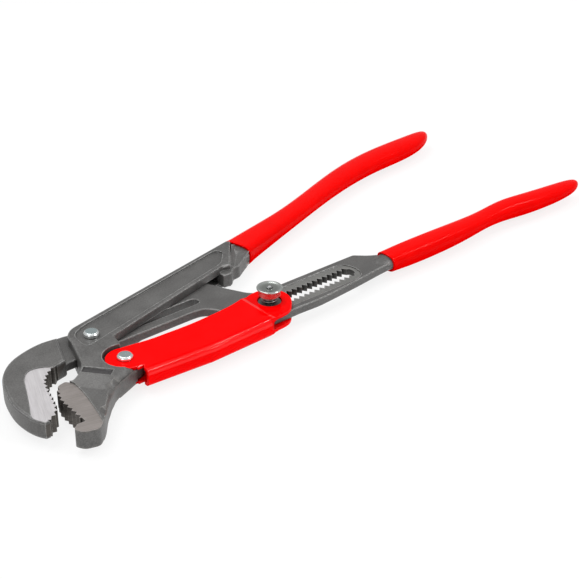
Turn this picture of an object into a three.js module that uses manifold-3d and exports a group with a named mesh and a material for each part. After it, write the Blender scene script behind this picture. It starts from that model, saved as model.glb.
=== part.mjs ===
// Pipe pliers: an upper handle with the fixed jaw, a sliding lower handle with the hook jaw,
// a channel link between them, and a spring button that locks the hook jaw in a toothed slot.
// Millimetres, +Z up, +X along both slots to the handles. Everything is drawn about the middle
// plane and the guide rivet, then lifted: the origin is the flat under the guide rivet.

import * as THREE from 'three';
import { mergeVertices } from 'three/addons/utils/BufferGeometryUtils.js';
import { ConvexGeometry } from 'three/addons/geometries/ConvexGeometry.js';
import Module from 'manifold-3d';

const wasm = await Module();
wasm.setup();

// Pivots
const pivotDrop = 38.5; // the link rivet and the button lie this far below the guide rivet
const linkPivotAhead = 2;
const linkLength = 127.7; // link rivet to button

// Thicknesses, each measured from the middle plane
const cheekHalf = 9.6;
const bladeHalf = 3.25;
const bladeClearance = 0.35;
const lobeHalf = 4.4;
const jawFlatHalf = 6.6;
const neckEndHalf = 7.1;
const heelHalf = 5.4;
const hookHalf = 7;
const hookFlatHalf = 6.5;

// Fits and edges
const fitGap = 0.3;
const overrun = 30;
const forgedBevel = 1.3;
const hookBevel = 2.2;
const bladeBevel = 0.5;
const linkBevel = 0.45;
const bevelSteps = 2;
const curveSteps = 4;
const roundSteps = 32;

// Upper handle body
const bossRadius = 16.7;
const bodyLength = 163;
const bodyRise = 53.3;
const slotFloorDrop = 16;
const slotRearWall = 35; // the blade's slot stops this far before the body's rear corner
const spineStart = 42;
const spineInnerStart = 23.5;
const spineInnerEnd = 31;
const pocketDepth = 1.4;
const headReach = 100; // size that the jaw outlines follow
const tailRadius = 13.2;
const neckWindowDepth = 1.1;
const neckWindowLength = 21;
const neckWindowWidth = 6.9;
const neckWindowTilt = -50.4;
const neckWindowAhead = -23.6;
const neckWindowDrop = 43.2;
const neckSlopeStart = 50;
const neckSlopeRun = 14;
const neckHeading = -140;

// Jaw teeth
const toothPitch = 4.8;
const toothDepth = 2.1;
const toothLean = 0.35;
const toothSwath = 6;

// Guide rivet and link rivet
const guideShankRadius = 3.5;
const guideHeadRadius = 5.5;
const guideHeadHeight = 3.3;
const linkShankRadius = 4;
const linkHeadRadius = 5.6;
const linkHeadHeight = 2.6;
const headChamfer = 1.1;

// Guide slot in the blade
const guideSlotRadius = 4.2;
const guideSlotFront = -10;
const armHalf = 16; // half width of the blade's arm, which the arm's outline follows
const guideSlotStop = 41.2; // rear end of the slot before the button
const guideSlotDrop = 0.44; // splits the rivet's sideways play over the handles' swing

// Toothed slot in the lower handle
const notchPitch = 5;
const notchCount = 18;
const notchTipHalf = 4.15;
const notchRootHalf = 7.9;
const notchesAhead = 1.5; // notches between the slot's first one and the button
const slotEndReach = 2.4;
const millDepth = 0.7;
const millHalf = 12.9;
const millEndReach = 8;
const millFrontReach = 17.7;
const bandHalf = 18; // half width of the blade round the toothed slot

// Channel link
const linkHalf = 7.2;
const linkSheet = 2.5;
const linkLobeRadius = 14;
const webDrop = 27; // outer face of the web below the pivot line
const webFront = 5;
const webRear = 112;
const webKink = 58;
const webFrontAngle = 4.2;
const webRearAngle = 1.7;
const bendRadius = 4.6;
const joggle = 1.2;
const joggleBack = 16.1; // the step starts this far before the button
const joggleRun = 3.4;
const tabLandThickness = 0.8;

// Push button
const buttonHoleRadius = 9;
const flangeRadius = 9.6;
const flangeTop = 17.4;
const flangeThickness = 1.8;
const flangeEdge = 0.5;
const dishDepth = 0.7;
const dishRim = 1.4;
const skirtRadius = 8.4;
const skirtWall = 1.1;
const skirtDrop = 4.4;
const boltNeckRadius = 3.5;
const boltEndRadius = 2.1;
const boltEndRise = 0.2;
const collarHalf = 2.9;
const collarRadius = 7.6;
const collarRelief = 0.55;
const collarHoleRadius = 8.7;
const seatRadius = 8.5;
const seatThickness = 0.6;
const seatBore = 4.4;
const footRadius = 11;
const footThickness = 1.3;
const footPegHeight = 1;
const footPegRadius = 5;

// Button spring
const springRadius = 5.5;
const springWire = 0.8;
const springTurns = 4.5;
const springSteps = 8;
const springSides = 5;

// Handles and their dipped grips
const upperReach = 450;
const lowerReach = 475;
const gripHalfWidth = 12.9;
const gripHalfThickness = 8.1;
const gripCoat = 2;
const gripRing = 20;
const gripRoundness = 2.2;
const upperDipAngle = 16;

// Outline corners as shares of the sizes named beside them: along, across, easing.
const cheekShares = [
  [-0.05, 0.2, 0], [-0.022, 0.306, 0], [0.98, 0.985, 0], [1, 0.93, 0], [0.847, 0.343, 0],
  [0.811, 0.395, 0],
  [0.067, -0.221, 0], [0, -0.2, 0],
];
const pocketShares = [
  [-0.075, -0.244, 0.04], [0.82, 0.47, 0.03], [0.897, 0.73, 0.01], [0.88, 0.845, 0.02],
  [-0.006, 0.235, 0.05], [-0.07, 0.11, 0.05],
];
const heelShares = [
  [0.785, 0.5, 0], [0.785, 0.259, 0.008], [0.831, 0.255, 0.008], [0.865, 0.356, 0.01],
  [0.902, 0.364, 0.01], [0.969, 0.497, 0.02], [1.055, 0.65, 0], [1.055, 0.96, 0], [0.92, 0.85, 0],
];
const jawShares = [
  [0.05, 0.05, 0], [-0.165, 0.01, 0], [-0.232, -0.183, 0.08], [-0.265, -0.288, 0.06],
  [-0.338, -0.372, 0.06], [-0.42, -0.418, 0.03], [-0.455, -0.374, 0.012], [-0.512, -0.384, 0.012],
  [-0.592, -0.47, 0.03], [-0.612, -0.6, 0.04], [-0.62, -0.843, 0], [-0.66, -0.848, 0.01],
  [-0.713, -0.883, 0.025], [-0.682, -0.952, 0.035], [-0.58, -0.982, 0.03], [-0.5, -0.915, 0.04],
  [-0.36, -0.755, 0.06], [-0.22, -0.625, 0.06], [-0.04, -0.552, 0.03], [0.02, -0.53, 0],
  [0.02, -0.385, 0], [0.094, -0.205, 0.02], [0.108, -0.118, 0],
];
const jawFlatShares = [
  [-0.46, -0.3, 0], [-0.44, -0.385, 0.02], [-0.421, -0.43, 0.02], [-0.425, -0.52, 0.04],
  [-0.445, -0.63, 0.05], [-0.476, -0.768, 0.05], [-0.51, -0.895, 0.03], [-0.56, -1.02, 0],
  [-0.9, -1.02, 0], [-0.9, -0.3, 0],
];
const jawRootShares = [
  [-0.5, -0.385], [-0.545, -0.458], [-0.578, -0.545], [-0.584, -0.64], [-0.588, -0.74],
  [-0.596, -0.83],
];
const jawNotchShares = [[-0.7, -0.8, 0], [-0.7, -0.846, 0], [-0.6, -0.852, 0.01], [-0.6, -0.8, 0]];
const hookShares = [
  [-0.188, 0.152, 0], [-0.305, 0.172, 0.06], [-0.44, 0.152, 0.07], [-0.6, 0.098, 0.09],
  [-0.735, -0.02, 0.09], [-0.822, -0.2, 0.09], [-0.873, -0.4, 0.08], [-0.87, -0.555, 0.07],
  [-0.845, -0.648, 0.03], [-0.812, -0.706, 0], [-0.765, -0.705, 0], [-0.718, -0.699, 0.02],
  [-0.649, -0.634, 0.03], [-0.601, -0.482, 0.05], [-0.557, -0.366, 0.04], [-0.525, -0.3, 0.03],
  [-0.488, -0.251, 0.02], [-0.45, -0.218, 0.02], [-0.414, -0.199, 0.01], [-0.388, -0.19, 0],
  [-0.386, -0.159, 0], [-0.3, -0.14, 0],
];
const hookRootShares = [
  [-0.785, -0.682], [-0.728, -0.655], [-0.688, -0.614], [-0.663, -0.565], [-0.633, -0.476],
  [-0.608, -0.387], [-0.572, -0.291], [-0.528, -0.231], [-0.482, -0.188], [-0.438, -0.16],
  [-0.385, -0.152],
];
const hookFlatShares = [
  [-0.645, -0.165, 0.04], [-0.575, -0.095, 0.05], [-0.485, -0.115, 0.04], [-0.43, -0.15, 0],
  [-0.37, -0.24, 0], [-0.42, -0.78, 0], [-0.83, -0.78, 0], [-0.845, -0.59, 0.02],
  [-0.74, -0.375, 0.03],
];
// The blade, zone by zone: by the head, by the arm's length and half width, by the band's half
// width round the button, and by the toothed slot's run behind the button.
const headTopShares = [[-0.42, 0.14, 0], [-0.3, 0.178, 0.03], [-0.16, 0.195, 0.05], [0, 0.163, 0.05]];
const armTopShares = [[0.2825, 0.94, 0.057], [1.13, 0.97, 0.034], [1.27, 1.07, 0.009]];
const bendTopShares = [[-0.583, 2.21, 0.167], [-0.067, 1.205, 0.278], [0.35, 0.983, 0.222]];
const bandShares = [
  [1.193, 0.994, 0.024], [1.308, 0.511, 0.059], [1.375, 0.35, 0], [1.375, -0.567, 0],
  [1.217, -0.639, 0.059], [0.926, -0.806, 0.059], [0.659, -0.928, 0.059], [0.404, -1.028, 0.059],
  [0.185, -0.983, 0.059],
];
const bendLowShares = [
  [-0.817, -1.006, 0.278], [-1.43, -0.861, 0.222], [-1.76, -0.194, 0.278], [-1.87, 0.861, 0.333],
];
const armLowShares = [[1, -0.84, 0.068], [0.904, -0.77, 0.034], [0.113, -0.79, 0.034]];
const headLowShares = [[-0.2, -0.135, 0.03], [-0.42, -0.14, 0]];
// Shares of the link's length along, and of the web's drop across, from the link rivet.
const linkShares = [
  [0.03, 0.5, 0.02], [0.217, 0.353, 0.06], [0.48, 0.307, 0.05], [0.66, 0.344, 0.05],
  [0.79, 0.409, 0.05], [0.87, 0.505, 0.05], [0.92, 0.574, 0.03], [0.92, -0.83, 0], [0.858, -0.86, 0],
  [0.858, -1.1, 0],
  [0.024, -1.1, 0], [0.024, -0.661, 0.006], [0.04, -0.565, 0.006], [0, -0.565, 0],
];
const tabShares = [
  [0.86, 0.509, 0], [0.9, 0.522, 0.02], [0.965, 0.627, 0.05], [1.06, 0.618, 0.07],
  [1.13, 0.261, 0.06], [1.13, -0.157, 0.05], [1.085, -0.479, 0.05], [1.02, -0.783, 0.05],
  [0.95, -0.831, 0.02], [0.86, -0.831, 0],
];
// Handle sections from the body's rear corner or the blade's end: along and across as shares of
// the length left, half width, half thickness, coat.
const upperGripShares = [
  [-0.0125, -0.0449, 1.11, 1, 0.5], [0.0515, -0.0181, 1.01, 0.99, 0.9],
  [0.1151, 0.0053, 0.92, 0.95, 1], [0.1889, 0.0278, 0.86, 0.87, 1], [0.2853, 0.0589, 0.8, 0.82, 1],
  [0.3999, 0.1014, 0.81, 0.82, 1], [0.5216, 0.1443, 0.9, 0.89, 1], [0.6286, 0.1729, 0.96, 0.95, 1],
  [0.7223, 0.1878, 0.99, 0.99, 1], [0.8098, 0.1937, 1, 1, 1], [0.8885, 0.2028, 0.89, 0.95, 1],
  [0.9407, 0.2171, 0.7, 0.8, 1], [0.9755, 0.2321, 0.43, 0.56, 1], [0.9912, 0.2408, 0.12, 0.2, 1],
];
const lowerGripShares = [
  [0.0043, -0.012, 0.78, 0.85, 0.5], [0.0819, -0.0134, 0.86, 0.93, 1],
  [0.2025, -0.0134, 0.885, 0.96, 1], [0.3276, -0.0112, 0.84, 0.91, 1],
  [0.4267, -0.0044, 0.745, 0.8, 1], [0.4871, 0.0009, 0.7, 0.75, 1], [0.5561, 0.0056, 0.75, 0.81, 1],
  [0.6206, 0.0052, 0.84, 0.92, 1], [0.6939, -0.0056, 0.85, 0.92, 1],
  [0.8061, -0.0152, 0.8, 0.87, 1], [0.8923, -0.0159, 0.7, 0.76, 1],
  [0.9439, -0.0126, 0.57, 0.63, 1], [0.9785, -0.004, 0.34, 0.42, 1],
  [0.9891, 0.0001, 0.12, 0.15, 1],
];
const easingLimitShare = 0.49;
const coreRingShare = 0.8; // share of a grip's rings that the steel core reaches

// Derived places and sizes
const pivotLine = -pivotDrop;
const buttonAhead = linkPivotAhead + linkLength;
const slotEnd = bodyLength - slotRearWall;
const guideSlotRear = buttonAhead - guideSlotStop;
const joggleStart = buttonAhead - joggleBack;
const slotFirst = buttonAhead - notchesAhead * notchPitch;
const slotRun = (notchCount - 1 - notchesAhead) * notchPitch + notchPitch / 2 + slotEndReach;
const bladeEnd = buttonAhead + bandShares[2][0] * slotRun;
const slotHalf = bladeHalf + bladeClearance;
const pocketFloor = cheekHalf - pocketDepth;
const millFloor = bladeHalf - millDepth;
const linkInner = linkHalf - linkSheet;
const tabTop = linkHalf - joggle;
const tabBottom = tabTop - linkSheet;
const footTop = -tabTop - fitGap;
const lobeRecessRadius = linkLobeRadius + fitGap + forgedBevel;
const flangeBottom = flangeTop - flangeThickness;
const seatBottom = tabBottom + tabLandThickness + fitGap;
const seatTop = seatBottom + seatThickness;
const degree = Math.PI / 180;

// Turns a three.js geometry into a solid, with shared corners merged.
function solid(geometry) {
  geometry.deleteAttribute('normal');
  geometry.deleteAttribute('uv');
  const merged = mergeVertices(geometry);
  const triangles = [];
  for (let i = 0; i < merged.index.count; i += 3) {
    const corners = [0, 1, 2].map((step) => merged.index.getX(i + step));
    if (new Set(corners).size === 3) triangles.push(...corners);
  }
  const vertProperties = new Float32Array(merged.attributes.position.array);
  return new wasm.Manifold(new wasm.Mesh({ numProp: 3, vertProperties, triVerts: new Uint32Array(triangles) }));
}

// Turns a solid back into a named mesh.
function pieceOf(name, body, material) {
  const data = body.getMesh();
  const geometry = new THREE.BufferGeometry();
  geometry.setAttribute('position', new THREE.BufferAttribute(new Float32Array(data.vertProperties), 3));
  geometry.setIndex(new THREE.BufferAttribute(new Uint32Array(data.triVerts), 1));
  geometry.computeVertexNormals();
  const mesh = new THREE.Mesh(geometry, material);
  mesh.name = name;
  return mesh;
}

// Joins corner points into a shape, easing each corner over its own length.
function outline(corners) {
  const shape = new THREE.Shape();
  corners.forEach(([x, y, easing], i) => {
    const corner = new THREE.Vector2(x, y);
    const before = new THREE.Vector2(...corners.at(i - 1)).sub(corner);
    const after = new THREE.Vector2(...corners[(i + 1) % corners.length]).sub(corner);
    const start = corner.clone().add(before.clone().setLength(Math.min(easing, before.length() * easingLimitShare)));
    const end = corner.clone().add(after.clone().setLength(Math.min(easing, after.length() * easingLimitShare)));
    if (i === 0) shape.moveTo(start.x, start.y);
    else shape.lineTo(start.x, start.y);
    if (easing > 0) shape.quadraticCurveTo(corner.x, corner.y, end.x, end.y);
  });
  return shape;
}

// Corner shares scaled to a length and a height, from a start point.
function corners(shares, length, height = length, startX = 0, startY = 0) {
  return shares.map(([along, across, easing]) => [startX + along * length, startY + across * height, easing * length]);
}

// A plate between two levels, with its edges bevelled when a bevel is given.
// Growth widens the outline and both faces, for the hollow of a piece that fits over it.
function plate(shape, bottom, top, bevel = 0, growth = 0) {
  const geometry = new THREE.ExtrudeGeometry(shape, {
    depth: top - bottom + 2 * (growth - bevel),
    bevelEnabled: bevel > 0,
    bevelThickness: bevel,
    bevelSize: bevel,
    bevelOffset: growth - bevel,
    bevelSegments: bevel < forgedBevel ? 1 : bevelSteps,
    curveSegments: curveSteps,
  });
  return solid(geometry.translate(0, 0, bottom + bevel - growth));
}

// The same cut on both faces, from a depth outwards.
function faceCut(shape, level) {
  return plate(shape, level, level + overrun).add(plate(shape, -level - overrun, -level));
}

function disc(x, y, radius) {
  const rim = Array.from({ length: roundSteps }, (_, i) => {
    const turn = (2 * Math.PI * i) / roundSteps;
    return new THREE.Vector2(x + radius * Math.cos(turn), y + radius * Math.sin(turn));
  });
  return new THREE.Shape(rim);
}

// A round solid from its profile of radius and height, moved to its axis.
function turned(profile, x, y) {
  const points = profile.map(([radius, height]) => new THREE.Vector2(radius, height));
  const geometry = new THREE.LatheGeometry(points, roundSteps);
  return solid(geometry.rotateX(Math.PI / 2).translate(x, y, 0));
}

function bore(x, y, radius, bottom, top) {
  return turned([[0, bottom], [radius, bottom], [radius, top], [0, top]], x, y);
}

// A strip whose near edge is a row of leaning teeth along a curve.
function toothRow(rootShares) {
  const curve = new THREE.SplineCurve(rootShares.map(([x, y]) => new THREE.Vector2(x * headReach, y * headReach)));
  const count = Math.floor(curve.getLength() / toothPitch);
  const away = (u, depth) => {
    const tangent = curve.getTangentAt(u);
    return curve.getPointAt(u).add(new THREE.Vector2(tangent.y, -tangent.x).multiplyScalar(depth));
  };
  const row = [];
  const back = [];
  for (let i = 0; i <= count; i += 1) {
    row.push(away(i / count, 0));
    back.push(away(i / count, toothSwath));
    if (i < count) row.push(away((i + toothLean) / count, toothDepth));
  }
  return plate(new THREE.Shape([...row, ...back.reverse()]), -overrun, overrun);
}

// Handle sections as rings: centre, direction, half width and half thickness.
function sections(shares, reach, startX, startY, firstAngle) {
  const run = reach - startX;
  const centres = shares.map(([along, across]) => new THREE.Vector2(startX + along * run, startY + across * run));
  return shares.map(([, , width, thickness, coat], i) => {
    const next = centres[Math.min(i + 1, centres.length - 1)];
    const last = centres[Math.max(i - 1, 0)];
    const heading = next.clone().sub(last).angle();
    return {
      centre: centres[i],
      angle: i === 0 ? firstAngle : heading,
      width: width * gripHalfWidth,
      thickness: thickness * gripHalfThickness,
      coat: coat * gripCoat,
    };
  });
}

// A closed solid through rings of rounded sections, each drawn in by its inset.
function handleLoft(rings, insetOf) {
  const positions = [];
  const index = [];
  const power = 2 / gripRoundness;
  rings.forEach((ring) => {
    const inset = insetOf(ring);
    for (let k = 0; k < gripRing; k += 1) {
      const turn = (2 * Math.PI * k) / gripRing;
      const side = Math.sign(Math.cos(turn)) * Math.abs(Math.cos(turn)) ** power * (ring.width - inset);
      const rise = Math.sign(Math.sin(turn)) * Math.abs(Math.sin(turn)) ** power * (ring.thickness - inset);
      positions.push(ring.centre.x - Math.sin(ring.angle) * side, ring.centre.y + Math.cos(ring.angle) * side, rise);
    }
  });
  for (let r = 0; r < rings.length - 1; r += 1) {
    for (let k = 0; k < gripRing; k += 1) {
      const a = r * gripRing + k;
      const b = r * gripRing + ((k + 1) % gripRing);
      index.push(a, b, a + gripRing, b, b + gripRing, a + gripRing);
    }
  }
  [rings[0], rings.at(-1)].forEach((ring, end) => {
    const hub = positions.length / 3;
    const first = end * (rings.length - 1) * gripRing;
    positions.push(ring.centre.x, ring.centre.y, 0);
    for (let k = 0; k < gripRing; k += 1) {
      const a = first + k;
      const b = first + ((k + 1) % gripRing);
      index.push(...(end ? [hub, a, b] : [hub, b, a]));
    }
  });
  const geometry = new THREE.BufferGeometry();
  geometry.setAttribute('position', new THREE.BufferAttribute(new Float32Array(positions), 3));
  geometry.setIndex(index);
  return solid(geometry);
}

// The steel core of a handle: its rings go on inside the body, and stop short of the grip's end.
function handleCore(rings, root) {
  const kept = rings.slice(0, Math.floor(rings.length * coreRingShare));
  return handleLoft([root, ...kept], (ring) => ring.coat + fitGap);
}

function dippedGrip(rings) {
  const inner = rings.slice(0, Math.floor(rings.length * coreRingShare));
  const start = { ...inner[0] };
  const back = new THREE.Vector2(Math.cos(start.angle), Math.sin(start.angle)).multiplyScalar(gripCoat);
  start.centre = start.centre.clone().sub(back);
  const lastRing = inner.at(-1);
  const ahead = new THREE.Vector2(Math.cos(lastRing.angle), Math.sin(lastRing.angle)).multiplyScalar(fitGap);
  const stop = { ...lastRing, centre: lastRing.centre.clone().add(ahead) };
  return handleLoft(rings, () => 0).subtract(handleLoft([start, ...inner, stop], (ring) => ring.coat));
}

function upperGrip() {
  const body = [cheekPlate(fitGap), heelPlate(fitGap), rearFacet(fitGap)];
  return body.reduce((grip, piece) => grip.subtract(piece), dippedGrip(upperRings));
}

const upperRings = sections(upperGripShares, upperReach, bodyLength, bodyRise, upperDipAngle * degree);
const lowerRings = sections(lowerGripShares, lowerReach, bladeEnd, pivotLine, 0);

// Steel that joins a handle's core to its body, behind the first ring.
function rootRing(ring, back, width, thickness) {
  const step = new THREE.Vector2(Math.cos(ring.angle), Math.sin(ring.angle)).multiplyScalar(back);
  return { ...ring, centre: ring.centre.clone().sub(step), width: width + ring.coat, thickness: thickness + ring.coat };
}

const upperRootBack = 12;
const upperRootWidth = 10.6;
const lowerRootBack = 14;
const lowerRootWidth = 7.6;

// The jaw's faces fall away from the neck to the level of its ground flats.
function neckSlope() {
  const profile = outline([
    [neckSlopeStart, cheekHalf, 0], [neckSlopeStart + neckSlopeRun, neckEndHalf, 0],
    [neckSlopeStart + 2 * headReach, neckEndHalf, 0],
    [neckSlopeStart + 2 * headReach, cheekHalf + overrun, 0], [neckSlopeStart, cheekHalf + overrun, 0],
  ]);
  const geometry = new THREE.ExtrudeGeometry(profile, { depth: 2 * headReach, bevelEnabled: false });
  geometry.translate(0, 0, -headReach).rotateX(Math.PI / 2).rotateZ(neckHeading * degree);
  const upper = solid(geometry);
  return upper.add(upper.mirror([0, 0, 1]));
}

function neckWindow() {
  const halfLength = neckWindowLength / 2;
  const halfWidth = neckWindowWidth / 2;
  const shape = outline([
    [-halfLength, -halfWidth, 0], [halfLength, -halfWidth, 0], [halfLength, halfWidth, 0],
    [-halfLength, halfWidth, 0],
  ]);
  const place = [neckWindowAhead, -neckWindowDrop, 0];
  return faceCut(shape, cheekHalf - neckWindowDepth).rotate([0, 0, neckWindowTilt]).translate(place);
}

// Sloping end of the thick body, down to the heel.
function rearFacet(growth = 0) {
  const [topAlong, topAcross] = cheekShares[3];
  const [lowAlong, lowAcross] = cheekShares[4];
  const edge = [[topAlong * bodyLength, topAcross * bodyRise], [lowAlong * bodyLength, lowAcross * bodyRise]];
  const inward = 2 * forgedBevel;
  const points = [];
  [-1, 1].forEach((face) => {
    edge.forEach(([x, y], i) => {
      const shift = i === 0 ? -inward : inward;
      const high = face * (cheekHalf - forgedBevel + growth);
      const low = face * (heelHalf + growth);
      points.push(new THREE.Vector3(x - inward + growth, y + shift, high));
      points.push(new THREE.Vector3(x + heelHalf + growth, y + shift, low));
      points.push(new THREE.Vector3(x - 4 * inward, y + shift, low));
    });
  });
  return solid(new ConvexGeometry(points));
}

function bladeSlot() {
  const shape = outline([
    [-headReach, -slotFloorDrop, 0], [slotEnd, -slotFloorDrop, 0], [slotEnd, spineInnerEnd, 0],
    [spineStart, spineInnerStart, 0], [spineStart, headReach, 0], [-headReach, headReach, 0],
  ]);
  return plate(shape, -slotHalf, slotHalf);
}

function cheekPlate(growth = 0) {
  const shape = outline(corners(cheekShares, bodyLength, bodyRise));
  return plate(shape, -cheekHalf, cheekHalf, forgedBevel, growth);
}

function heelPlate(growth = 0) {
  return plate(outline(corners(heelShares, bodyLength, bodyRise)), -heelHalf, heelHalf, bladeBevel, growth);
}

function upperBody() {
  const pad = [
    plate(disc(0, 0, bossRadius), -cheekHalf, cheekHalf, forgedBevel),
    cheekPlate(),
    plate(outline(corners(jawShares, headReach)), -cheekHalf, cheekHalf, forgedBevel),
    plate(disc(linkPivotAhead, pivotLine, tailRadius), -lobeHalf, lobeHalf),
  ].reduce((whole, next) => whole.add(next));
  const cuts = [
    faceCut(disc(linkPivotAhead, pivotLine, lobeRecessRadius), lobeHalf),
    faceCut(outline(corners(pocketShares, bodyLength, bodyRise)), pocketFloor),
    faceCut(outline(corners(jawFlatShares, headReach)), jawFlatHalf),
    neckSlope(),
    neckWindow(),
    bladeSlot(),
    toothRow(jawRootShares),
    plate(outline(corners(jawNotchShares, headReach)), -overrun, overrun),
    bore(0, 0, guideShankRadius + fitGap, -overrun, overrun),
    bore(linkPivotAhead, pivotLine, linkShankRadius + fitGap, -overrun, overrun),
  ].reduce((whole, next) => whole.add(next));
  const core = handleCore(upperRings, rootRing(upperRings[0], upperRootBack, upperRootWidth, heelHalf));
  return pad.subtract(cuts).add(heelPlate()).add(rearFacet()).add(core);
}

// Toothed slot, drawn smaller by a relief so that the lock collar can share the shape.
function notchedShape(relief) {
  const first = slotFirst;
  const tip = notchTipHalf - relief;
  const root = notchRootHalf - relief;
  const half = notchPitch / 2;
  const end = first + (notchCount - 1) * notchPitch + half;
  const shape = new THREE.Shape();
  shape.moveTo(first - half, pivotLine - tip);
  for (let i = 0; i < notchCount; i += 1) {
    shape.lineTo(first + i * notchPitch, pivotLine - root);
    shape.lineTo(first + i * notchPitch + half, pivotLine - tip);
  }
  shape.quadraticCurveTo(end + slotEndReach, pivotLine - tip, end + slotEndReach, pivotLine);
  shape.quadraticCurveTo(end + slotEndReach, pivotLine + tip, end, pivotLine + tip);
  for (let i = notchCount - 1; i >= 0; i -= 1) {
    shape.lineTo(first + i * notchPitch, pivotLine + root);
    shape.lineTo(first + i * notchPitch - half, pivotLine + tip);
  }
  shape.quadraticCurveTo(first - half - slotEndReach, pivotLine + tip, first - half - slotEndReach, pivotLine);
  shape.quadraticCurveTo(first - half - slotEndReach, pivotLine - tip, first - half, pivotLine - tip);
  return shape;
}

function millShape() {
  const front = buttonAhead - millFrontReach;
  const end = buttonAhead + (notchCount - 1 - notchesAhead) * notchPitch;
  const shape = outline([
    [front, pivotLine - millHalf, 0], [end + millEndReach, pivotLine - millHalf, millHalf],
    [end + millEndReach, pivotLine + millHalf, millHalf], [front, pivotLine + millHalf, 0],
  ]);
  return shape;
}

function guideSlot() {
  const shape = new THREE.Shape();
  shape.absarc(guideSlotRear, -guideSlotDrop, guideSlotRadius, -Math.PI / 2, Math.PI / 2);
  shape.absarc(guideSlotFront, -guideSlotDrop, guideSlotRadius, Math.PI / 2, (3 * Math.PI) / 2);
  return shape;
}

function bladeOutline() {
  return outline([
    ...corners(headTopShares, headReach), ...corners(armTopShares, guideSlotRear, armHalf),
    ...corners(bendTopShares, bandHalf, bandHalf, buttonAhead, pivotLine),
    ...corners(bandShares, slotRun, bandHalf, buttonAhead, pivotLine),
    ...corners(bendLowShares, bandHalf, bandHalf, buttonAhead, pivotLine),
    ...corners(armLowShares, guideSlotRear, armHalf), ...corners(headLowShares, headReach),
  ]);
}

function lowerBody() {
  const head = plate(outline(corners(hookShares, headReach)), -hookHalf, hookHalf, hookBevel);
  const blade = plate(bladeOutline(), -bladeHalf, bladeHalf, bladeBevel);
  const core = handleCore(lowerRings, rootRing(lowerRings[0], lowerRootBack, lowerRootWidth, bladeHalf));
  const cuts = [
    faceCut(outline(corners(hookFlatShares, headReach)), hookFlatHalf),
    toothRow(hookRootShares),
    plate(guideSlot(), -overrun, overrun),
    plate(notchedShape(0), -overrun, overrun),
    faceCut(millShape(), millFloor),
  ].reduce((whole, next) => whole.add(next));
  return head.add(blade).subtract(cuts).add(core);
}

// Channel section: outside or inside faces, run along the web.
function channelRun(half, drop, radius, from, to, angle) {
  const open = overrun + linkLobeRadius;
  const section = outline([
    [-half, -drop, radius], [half, -drop, radius], [half, open, 0], [-half, open, 0],
  ]);
  const geometry = new THREE.ExtrudeGeometry(section, {
    depth: to - from, bevelEnabled: false, curveSegments: curveSteps,
  });
  geometry.rotateY(Math.PI / 2).translate(from - webKink, 0, 0);
  return solid(geometry.rotateZ(angle).translate(webKink, pivotLine, 0));
}

// The web bends a little at its kink, and falls away on both sides of it.
function channelFaces(half, drop, radius) {
  const ahead = webFrontAngle * degree;
  const behind = webRearAngle * degree;
  const start = webKink - webDrop * (Math.sin(ahead) + Math.sin(behind));
  const rear = channelRun(half, drop, radius, start, webRear + overrun, behind);
  const front = channelRun(half, drop, radius, -overrun, webKink, -ahead);
  return rear.add(front);
}

// One cheek's end, stepped inwards over the lower handle.
function joggledTab() {
  const shape = outline(corners(tabShares, linkLength, webDrop, linkPivotAhead, pivotLine));
  return plate(shape, tabBottom, tabTop, linkBevel);
}

// Above and below the cheeks, where they slope down to the tabs.
function joggleSlope() {
  const profile = outline([
    [joggleStart, linkHalf, 0], [joggleStart + joggleRun, tabTop, 0], [buttonAhead + overrun, tabTop, 0],
    [buttonAhead + overrun, linkHalf + overrun, 0], [joggleStart, linkHalf + overrun, 0],
  ]);
  const width = 2 * (overrun + pivotDrop);
  const geometry = new THREE.ExtrudeGeometry(profile, { depth: width, bevelEnabled: false });
  geometry.translate(0, 0, -width / 2).rotateX(Math.PI / 2).translate(0, pivotLine, 0);
  const slope = solid(geometry);
  return slope.add(slope.mirror([0, 0, 1]));
}

function linkChannel() {
  const body = outline(corners(linkShares, linkLength, webDrop, linkPivotAhead, pivotLine));
  const lobe = plate(disc(linkPivotAhead, pivotLine, linkLobeRadius), -linkHalf, linkHalf, linkBevel);
  const walls = plate(body, -linkHalf, linkHalf, linkBevel).intersect(channelFaces(linkHalf, webDrop, bendRadius));
  const upperTab = joggledTab();
  const tabs = upperTab.add(upperTab.mirror([0, 0, 1]));
  const beforeWeb = outline([
    [-overrun, pivotLine - overrun, 0], [webFront, pivotLine - overrun, 0], [webFront, pivotLine, 0],
    [-overrun, pivotLine, 0],
  ]);
  const hollow = channelFaces(linkInner, webDrop - linkSheet, bendRadius - linkSheet)
    .add(plate(beforeWeb, -linkInner, linkInner));
  const sheet = lobe.add(walls).subtract(hollow).subtract(joggleSlope()).add(tabs);
  return sheet.subtract(linkBores());
}

function linkBores() {
  return [
    bore(linkPivotAhead, pivotLine, linkShankRadius + fitGap, -overrun, overrun),
    bore(buttonAhead, pivotLine, buttonHoleRadius, tabBottom + tabLandThickness, overrun),
    bore(buttonAhead, pivotLine, seatRadius - seatThickness - fitGap, 0, overrun),
    bore(buttonAhead, pivotLine, collarHoleRadius, -overrun, 0),
  ].reduce((whole, next) => whole.add(next));
}

// A rivet with a flat, chamfered head on both sides.
function rivet(x, y, shank, head, seat, height) {
  const top = seat + height;
  return turned([
    [0, -top], [head - headChamfer, -top], [head, headChamfer - top], [head, -seat], [shank, -seat],
    [shank, seat], [head, seat], [head, top - headChamfer], [head - headChamfer, top], [0, top],
  ], x, y);
}

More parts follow.
